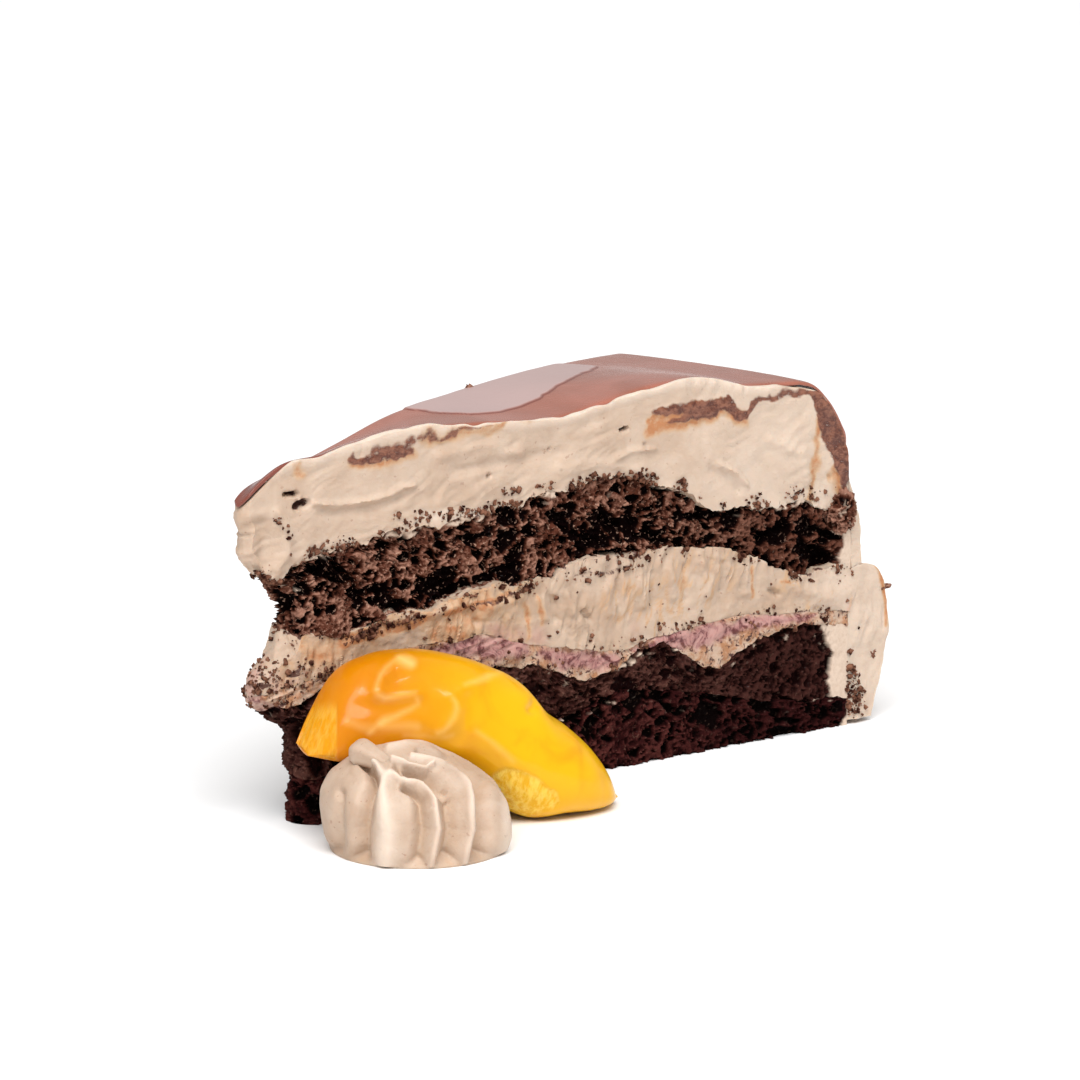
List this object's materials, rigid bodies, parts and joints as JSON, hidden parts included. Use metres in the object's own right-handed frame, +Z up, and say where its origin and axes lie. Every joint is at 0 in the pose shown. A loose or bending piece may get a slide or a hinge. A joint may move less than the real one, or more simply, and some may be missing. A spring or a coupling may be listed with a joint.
{
  "type": "slice of mocha layer cake",
  "caption": "Wedge slice of layered mocha cake with dark sponge, coffee and berry cream and chocolate glaze, with a cream rosette and glazed peach piece at its foot.",
  "frame": {"origin": "on the flat underside of the base sponge, 92 mm from the cake's middle along the slice's centre line", "axes": "+X from the tip to the rim, +Z up, -Y towards the side with the rosette and the peach piece"},
  "size_m": [0.1496, 0.072, 0.0723],
  "materials": {
    "chocolate_sponge": "open, torn chocolate sponge crumb, dull",
    "soaked_sponge": "moist smeared chocolate sponge",
    "berry_cream": "soft pink cream with crumbs",
    "mocha_cream": "soft whipped cream, satin",
    "rosette_cream": "piped whipped cream, satin",
    "chocolate_glaze": "smooth chocolate glaze, glossy",
    "glazed_peach": "fruit under clear jelly, wet"
  },
  "bodies": {
    "root": {"base_sponge": "chocolate_sponge", "soaked_sponge": "soaked_sponge", "berry_cream": "berry_cream", "middle_cream": "mocha_cream", "middle_sponge": "chocolate_sponge", "top_cream": "mocha_cream", "glaze": "chocolate_glaze", "rosette": "rosette_cream", "peach": "glazed_peach"}
  },
  "joints": []
}
